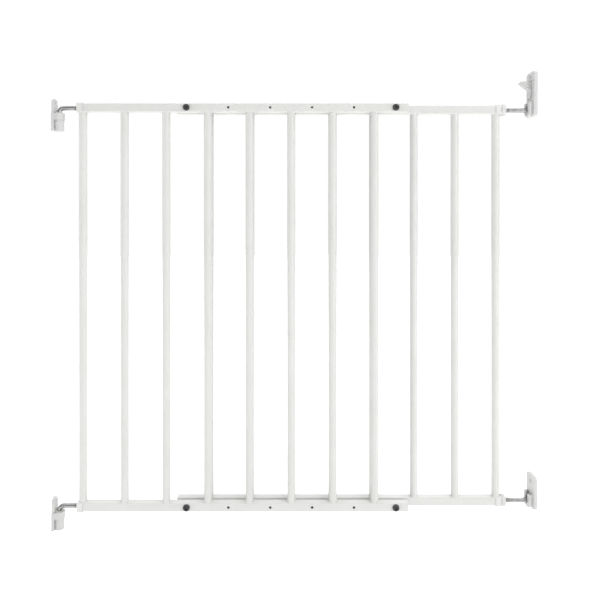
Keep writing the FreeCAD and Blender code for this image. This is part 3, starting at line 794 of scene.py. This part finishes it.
@dataclass
class TurnedSpindle:
    """A threaded spindle with a collar and a disc head, turned from one bar. Millimetres."""

    level: Level
    rod_r: float = 4.0
    root_depth: float = 0.45
    pitch: float = 1.25
    head_r: float = 8.0
    head_t: float = 2.5
    head_edge_r: float = 0.6
    collar_r: float = 5.0
    collar_l: float = 3.0
    collar_back: float = 6.8
    collar_edge_r: float = 0.5
    thread_run: float = 40.0
    thread_l: float = 14.0
    end_chamfer: float = 0.8
    around: int = 48

    def build(self, wardrobe: Wardrobe) -> None:
        """Makes the spindle."""
        node = self.level.value + "_spindle"
        wardrobe.fit(self.turning(node), node, "zinc_rod", node)

    def profile(self, length: float) -> tuple[np.ndarray, float, float]:
        """The outline from the rod's hidden end to the head's back.

        Args:
            length: The spindle's length.

        Returns:
            Rows of distance and radius, and where the thread starts and ends.
        """
        edge, head_edge = self.collar_edge_r, self.head_edge_r
        collar_end = length - self.collar_back
        collar_start = collar_end - self.collar_l
        head = length - self.head_t
        thread = (collar_start - self.thread_run, collar_start - self.thread_run + self.thread_l)
        stations = thread_stations(*thread, self.pitch)
        rows = [
            [(0.0, self.rod_r - self.end_chamfer), (self.end_chamfer, self.rod_r)],
            np.stack([stations, np.full(len(stations), self.rod_r)], axis=1),
            [(collar_start, self.rod_r)],
            edge_arc((collar_start + edge, self.collar_r - edge), edge, 180, 90),
            edge_arc((collar_end - edge, self.collar_r - edge), edge, 90, 0),
            [(collar_end, self.rod_r), (head, self.rod_r)],
            edge_arc((head + head_edge, self.head_r - head_edge), head_edge, 180, 90),
            edge_arc((length - head_edge, self.head_r - head_edge), head_edge, 90, 0),
        ]
        return np.concatenate([np.asarray(row, float) for row in rows]), *thread

    def turning(self, node: str) -> bpy.types.Object:
        """The profile turned about the spindle's axis, less the thread's valleys."""
        middle, low, high = centre_and_ends(node)
        rows, start, end = self.profile((high[0] - low[0]) / MM)
        valley = thread_valley(rows[:, 0], self.around, self.pitch, start, end)
        radii = rows[:, 1:] - self.root_depth * valley
        line = np.array([low[0], middle[1], middle[2]]) + rows[:, :1] * MM * AXIS_X
        return wrapped(node + "_turned", line, AXIS_X, AXIS_Z, radii * MM, ends=(line[0], line[-1]))


@dataclass
class LockNut:
    """The moulded hex nut that locks a spindle, its corners softened by the mould. Millimetres."""

    level: Level
    apothem: float = 10.0
    corner_r: float = 11.5
    chamfer: float = 1.2
    cone_rings: int = 7
    flat_start: float = 0.6
    face_r: float = 9.4
    face_edge: float = 0.15
    land_r: float = 7.6
    dish: float = 0.35
    bore_r: float = 4.05
    bore_chamfer: float = 0.4
    softness: float = 34.0
    around: int = 96

    def build(self, wardrobe: Wardrobe) -> None:
        """Makes the nut."""
        node = self.level.value + "_spindle_nut"
        wardrobe.fit(self.moulding(node), node, "nut_plastic", node)

    def half_profile(self) -> np.ndarray:
        """One end's outline: the bore's chamfer, a dished face and the cone on the corners.

        Returns:
            Rows of distance from the end and the radius that limits the hexagon there.
        """
        cone = np.linspace(0, 1, self.cone_rings)
        face = [
            (self.bore_chamfer + self.dish, self.bore_r),
            (self.dish, self.bore_r + self.bore_chamfer),
            (self.dish, self.land_r - self.dish),
            (SEAT_GAP, self.land_r),
            (SEAT_GAP, self.face_r - self.face_edge),
        ]
        corner = np.stack([SEAT_GAP + self.chamfer * cone,
                           self.face_r + (self.corner_r - self.face_r) * cone], axis=1)
        return np.concatenate([face, corner, [(self.chamfer + self.flat_start, FAR_OUT)]])

    def moulding(self, node: str) -> bpy.types.Object:
        """A hexagon with a cone at both ends: r(t) = min(limit, apothem * soft_hexagon(t))."""
        middle, low, high = centre_and_ends(node)
        length = (high[0] - low[0]) / MM
        first = self.half_profile()
        last = first[::-1] * (-1, 1) + (length, 0)
        rows = np.concatenate([first, last])
        clocking = 0.0 if self.level is Level.UPPER else FULL_TURN / 12
        hexagon = self.apothem * soft_hexagon(self.around, clocking, self.softness)
        radii = np.minimum(rows[:, 1:], hexagon[None, :])
        line = np.array([low[0], middle[1], middle[2]]) + rows[:, :1] * MM * AXIS_X
        return wrapped(node + "_moulded", line, AXIS_X, AXIS_Z, radii * MM, loop=True)


@dataclass
class ClampScrew:
    """A domed screw with a hexagon socket that clamps the two panels together. Millimetres."""

    number: int
    head_r: float = 5.9
    head_h: float = 4.2
    dome_r: float = 2.6
    dome_start: float = 175.0
    foot_r: float = 0.3
    rim_bevel: float = 0.35
    socket_apothem: float = 2.5
    socket_rim: float = 3.1
    socket_depth: float = 2.4
    drill_point: float = 0.5
    shank_r: float = 2.0
    root_depth: float = 0.28
    pitch: float = 0.7
    thread_run: float = 6.4
    tip_chamfer: float = 0.4
    softness: float = 40.0
    around: int = 48

    def build(self, wardrobe: Wardrobe) -> None:
        """Makes the screw."""
        node = f"clamp_screw_{self.number}"
        wardrobe.fit(self.turning(node), node, "screw_black", node)

    def profile(self, length: float) -> tuple[np.ndarray, float, float]:
        """The outline from the socket's floor over the domed head to the tip.

        Args:
            length: The screw's length.

        Returns:
            Rows of distance, limiting radius and hexagon apothem, and the thread's two ends.
        """
        socket = [(self.socket_depth, FAR_OUT, self.socket_apothem),
                  (self.rim_bevel, FAR_OUT, self.socket_apothem), (0.0, self.socket_rim, FAR_OUT)]
        dome = edge_arc((self.dome_r, self.head_r - self.dome_r), self.dome_r, self.dome_start, 90)
        under = self.head_h - SEAT_GAP
        foot = edge_arc((under - self.foot_r, self.head_r - self.foot_r), self.foot_r, 90, 0)
        thread = (length - self.thread_run, length - self.tip_chamfer)
        stations = thread_stations(*thread, self.pitch)
        shank = np.stack([stations, np.full(len(stations), self.shank_r)], axis=1)
        turned = np.concatenate([dome, foot, [(under, self.shank_r)], shank,
                                 [(length, self.shank_r - self.tip_chamfer)]])
        rows = np.concatenate([socket, np.c_[turned, np.full(len(turned), FAR_OUT)]])
        return rows, *thread

    def turning(self, node: str) -> bpy.types.Object:
        """The profile turned about its axis: r(t) = min(limit, apothem * soft_hexagon(t))."""
        middle, low, high = centre_and_ends(node)
        length = (high[1] - low[1]) / MM
        rows, start, end = self.profile(length)
        hexagon = soft_hexagon(self.around, 0.0, self.softness)
        valley = thread_valley(rows[:, 0], self.around, self.pitch, start, end)
        outline = np.minimum(rows[:, 1:2], rows[:, 2:] * hexagon[None, :])
        radii = outline - self.root_depth * valley
        line = np.array([middle[0], low[1], middle[2]]) + rows[:, :1] * MM * AXIS_Y
        floor = line[0] + self.drill_point * MM * AXIS_Y
        return wrapped(node + "_turned", line, AXIS_Y, AXIS_Z, radii * MM, ends=(floor, line[-1]))


def main() -> None:
    """Builds the stage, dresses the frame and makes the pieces."""
    logging.basicConfig(level=logging.INFO, format="%(name)s: %(message)s")
    Studio().build()
    wardrobe = Wardrobe()
    wardrobe.dress_cad()
    for panel in PanelName:
        BarRow(panel).build(wardrobe)
    for level in Level:
        HingeHook(level).build(wardrobe)
        TurnedSpindle(level).build(wardrobe)
        LockNut(level).build(wardrobe)
    for number in range(1, SCREW_COUNT + 1):
        ClampScrew(number).build(wardrobe)


if __name__ == "__main__":
    main()
